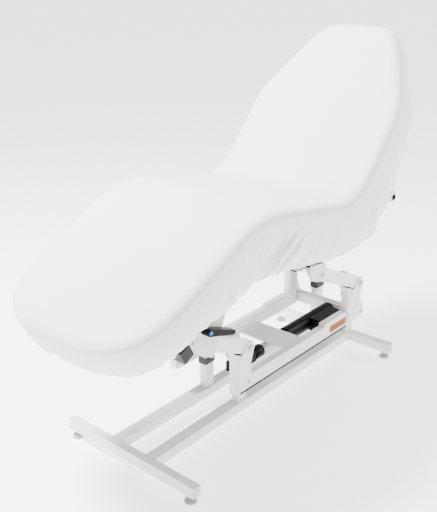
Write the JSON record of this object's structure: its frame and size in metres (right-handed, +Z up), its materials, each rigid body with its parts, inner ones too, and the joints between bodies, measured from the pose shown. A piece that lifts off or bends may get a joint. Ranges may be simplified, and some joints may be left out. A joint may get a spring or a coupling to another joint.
{
  "type": "facial treatment bed",
  "caption": "Height-adjustable treatment bed with a tilting back and leg section on parallel lift arms, under a fitted stretch cover",
  "frame": {"origin": "centre of the bed's outline on the floor", "axes": "+X toward the head end, +Y toward the bed's right side as seen from the foot end looking to the head, +Z up"},
  "size_m": [1.644, 0.611, 1.2881],
  "materials": {
    "white_paint": "white powder coat, fine texture",
    "cream_paint": "cream-white powder coat",
    "bronze_paint": "dark bronze-grey powder coat",
    "grey_rubber": "grey rubber",
    "black_rubber": "black rubber",
    "black_plastic": "black moulded plastic, fine grain",
    "grey_plastic": "light grey moulded plastic",
    "orange_label": "plain orange film label",
    "blue_plastic": "light blue plastic",
    "zinc_steel": "zinc-plated steel",
    "mocha_vinyl": "mocha upholstery vinyl, fine grain",
    "white_fabric": "white stretch terry cloth"
  },
  "bodies": {
    "base": {"cross_tube_foot": "white_paint", "cross_tube_head": "white_paint", "base_tube_left": "white_paint", "base_tube_right": "white_paint", "post_foot_left": "white_paint", "post_pad_foot_left": "grey_rubber", "bearing_foot_left": "cream_paint", "upright_foot_left": "white_paint", "rest_pad_foot_left": "black_rubber", "post_foot_right": "white_paint", "post_pad_foot_right": "grey_rubber", "bearing_foot_right": "cream_paint", "upright_foot_right": "white_paint", "rest_pad_foot_right": "black_rubber", "post_head_left": "white_paint", "post_pad_head_left": "grey_rubber", "bearing_head_left": "cream_paint", "upright_head_left": "white_paint", "rest_pad_head_left": "black_rubber", "post_head_right": "white_paint", "post_pad_head_right": "grey_rubber", "bearing_head_right": "cream_paint", "upright_head_right": "white_paint", "rest_pad_head_right": "black_rubber", "side_rail_left": "white_paint", "side_rail_right": "white_paint", "cross_plate": "white_paint", "rear_cross": "white_paint", "label": "orange_label", "actuator_housing": "black_plastic"},
    "foot_arms": {"shaft_foot": "zinc_steel", "arm_foot_left": "white_paint", "arm_foot_right": "white_paint", "lift_lever": "black_plastic"},
    "head_arms": {"shaft_head": "zinc_steel", "arm_head_left": "white_paint", "arm_head_right": "white_paint"},
    "rod": {"actuator_rod": "zinc_steel", "rod_clevis": "black_plastic"},
    "top": {"seat_frame": "bronze_paint", "seat_cushion": "mocha_vinyl", "seat_cover": "white_fabric", "arm_bracket_foot_left": "cream_paint", "arm_bracket_foot_right": "cream_paint", "arm_bracket_head_left": "cream_paint", "arm_bracket_head_right": "cream_paint"},
    "back": {"back_frame": "bronze_paint", "back_cushion": "mocha_vinyl", "back_cover": "white_fabric", "back_bracket_left": "cream_paint", "back_bracket_right": "cream_paint"},
    "leg": {"leg_frame": "bronze_paint", "leg_cushion": "mocha_vinyl", "leg_cover": "white_fabric"},
    "lever": {"clamp_lever": "black_plastic"},
    "button": {"lever_button": "blue_plastic"},
    "level_foot_left": {"foot_foot_left": "grey_plastic"},
    "level_foot_right": {"foot_foot_right": "grey_plastic"},
    "level_head_left": {"foot_head_left": "grey_plastic"},
    "level_head_right": {"foot_head_right": "grey_plastic"}
  },
  "joints": [
    {"name": "lift_foot", "type": "hinge", "parent": "base", "child": "foot_arms", "pos_m": [-0.144, 0, 0.317], "axis": [0, 1, 0], "range_deg": [0, 50]},
    {"name": "lift_head", "type": "hinge", "parent": "base", "child": "head_arms", "pos_m": [0.566, 0, 0.317], "axis": [0, 1, 0], "range_deg": [0, 50]},
    {"name": "top_level", "type": "hinge", "parent": "foot_arms", "child": "top", "pos_m": [-0.429, 0, 0.444], "axis": [0, 1, 0], "range_deg": [-50, 0]},
    {"name": "rod_slide", "type": "slide", "parent": "base", "child": "rod", "axis": [-1, 0, 0], "range_m": [0, 0.1196]},
    {"name": "back_tilt", "type": "hinge", "parent": "top", "child": "back", "pos_m": [0.3019, 0, 0.57884], "axis": [0, 1, 0], "range_deg": [-10, 49]},
    {"name": "leg_tilt", "type": "hinge", "parent": "top", "child": "leg", "pos_m": [-0.26297, 0, 0.68148], "axis": [0, 1, 0], "range_deg": [-12, 26]},
    {"name": "clamp_turn", "type": "hinge", "parent": "top", "child": "lever", "pos_m": [-0.3916, -0.184, 0.4818], "axis": [0, 1, 0], "range_deg": [-40, 60]},
    {"name": "button_press", "type": "slide", "parent": "lever", "child": "button", "axis": [0, 1, 0], "range_m": [0, 0.002], "stiffness_N_per_m": 400},
    {"name": "level_foot_left", "type": "slide", "parent": "base", "child": "level_foot_left", "axis": [0, 0, -1], "range_m": [0, 0.012]},
    {"name": "level_foot_right", "type": "slide", "parent": "base", "child": "level_foot_right", "axis": [0, 0, -1], "range_m": [0, 0.012]},
    {"name": "level_head_left", "type": "slide", "parent": "base", "child": "level_head_left", "axis": [0, 0, -1], "range_m": [0, 0.012]},
    {"name": "level_head_right", "type": "slide", "parent": "base", "child": "level_head_right", "axis": [0, 0, -1], "range_m": [0, 0.012]}
  ],
  "couplings": [
    {"joint": "lift_head", "follows": "lift_foot", "ratio": 1},
    {"joint": "top_level", "follows": "lift_foot", "ratio": -1},
    {"joint": "rod_slide", "follows": "lift_foot", "m_per_rad": 0.13705}
  ]
}
